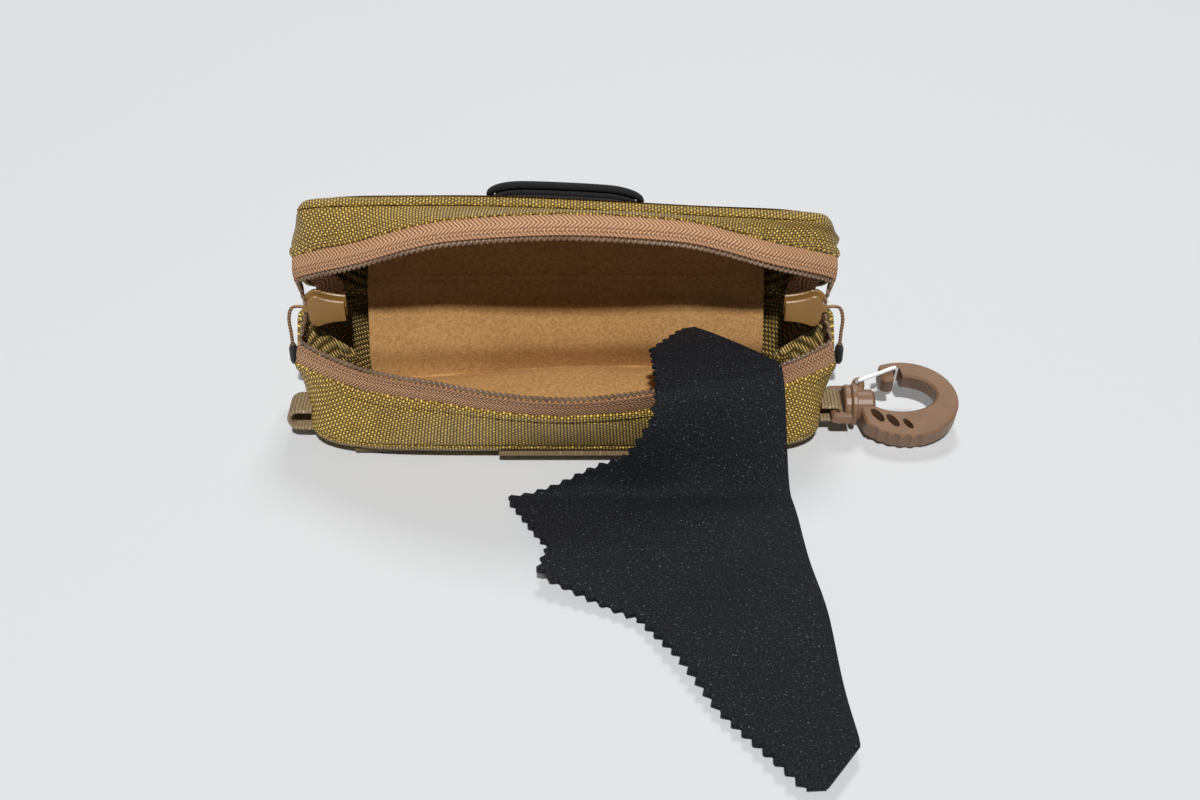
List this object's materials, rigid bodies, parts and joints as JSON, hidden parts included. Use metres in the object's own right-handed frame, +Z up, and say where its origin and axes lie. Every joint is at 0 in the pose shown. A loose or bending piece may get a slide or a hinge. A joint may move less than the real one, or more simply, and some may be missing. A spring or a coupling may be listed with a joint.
{
  "type": "zipped glasses case",
  "caption": "Soft zipped case for glasses with a hinged lid, sliding zip pulls, belt loop, swivel snap hook with a wire gate and a folded cleaning cloth.",
  "frame": {"origin": "middle of the belt loop's underside, where the case rests on the table", "axes": "+X along the case towards the snap hook, -Y towards the open mouth, +Z up"},
  "size_m": [0.2242, 0.2047, 0.084],
  "materials": {
    "khaki_nylon": "coarse woven nylon with a waxy sheen",
    "stiffener": "plain sheet, hidden",
    "zip_tape": "herringbone woven tape",
    "zip_coil": "moulded coil with soft shine",
    "lining": "short brushed fleece",
    "webbing": "flat woven webbing",
    "slider_paint": "satin enamel on cast zinc",
    "hook_plastic": "satin moulded plastic",
    "gate_steel": "bare spring wire",
    "black_fabric": "napped and stitched black textile",
    "pull_rubber": "soft matte moulding",
    "snap_black": "black oxide",
    "microfibre": "fine twill with a faint sparkle"
  },
  "bodies": {
    "tray": {"base_panel": "khaki_nylon", "base_board": "stiffener", "tray_wall": "khaki_nylon", "tray_zip_tape": "zip_tape", "tray_zip_coil": "zip_coil", "tray_lining": "lining", "spine_strip": "khaki_nylon", "zip_end_left": "zip_tape", "zip_end_right": "zip_tape", "belt_loop": "webbing", "strap_left": "webbing", "strap_right": "webbing", "snap_left": "snap_black", "snap_right": "snap_black", "hook_loop": "webbing", "spare_loop": "webbing"},
    "lid": {"lid_panel": "khaki_nylon", "lid_board": "stiffener", "lid_wall": "khaki_nylon", "lid_zip_tape": "zip_tape", "lid_zip_coil": "zip_coil", "lid_lining": "lining", "loop_field": "black_fabric", "patch_backing": "black_fabric", "patch": "black_fabric", "patch_border": "black_fabric"},
    "slider_left": {"slider_left": "slider_paint"},
    "slider_right": {"slider_right": "slider_paint"},
    "pull_left": {"pull_left": "pull_rubber"},
    "pull_right": {"pull_right": "pull_rubber"},
    "swivel_eye": {"swivel_eye": "hook_plastic"},
    "hook": {"hook_body": "hook_plastic"},
    "gate": {"wire_gate": "gate_steel"},
    "cloth": {"cloth": "microfibre"}
  },
  "joints": [
    {"name": "lid_hinge", "type": "hinge", "parent": "tray", "child": "lid", "pos_m": [0, 0.0246, 0.035], "axis": [-1, 0, 0], "range_deg": [-48, 20], "deforming": ["spine_strip", "zip_end_left", "zip_end_right", "cloth"]},
    {"name": "slider_left_run", "type": "slide", "parent": "tray", "child": "slider_left", "axis": [1, 0, 0], "range_m": [0, 0.003]},
    {"name": "slider_right_run", "type": "slide", "parent": "tray", "child": "slider_right", "axis": [-1, 0, 0], "range_m": [0, 0.003]},
    {"name": "pull_left_swing", "type": "hinge", "parent": "slider_left", "child": "pull_left", "pos_m": [-0.0792, 0.0117, 0.04], "axis": [0, 0, -1], "range_deg": [-8, 25]},
    {"name": "pull_right_swing", "type": "hinge", "parent": "slider_right", "child": "pull_right", "pos_m": [0.0792, 0.0117, 0.04], "axis": [0, 0, 1], "range_deg": [-8, 25]},
    {"name": "eye_swing", "type": "hinge", "parent": "tray", "child": "swivel_eye", "pos_m": [0.0891, -0.0024, 0.0082], "axis": [0, -1, 0], "range_deg": [0, 45]},
    {"name": "hook_swivel", "type": "hinge", "parent": "swivel_eye", "child": "hook", "pos_m": [0.0947, -0.0024, 0.0082], "axis": [1, 0, 0], "continuous": true},
    {"name": "gate_swing", "type": "hinge", "parent": "hook", "child": "gate", "pos_m": [0.0971, 0.00362, 0.01004], "axis": [0, 0.2924, -0.9563], "range_deg": [0, 22], "stiffness_Nm_per_rad": 0.05, "springref_deg": -8.59},
    {"name": "cloth_lift", "type": "slide", "parent": "tray", "child": "cloth", "axis": [0, 0, 1], "range_m": [0, 0.02]}
  ]
}
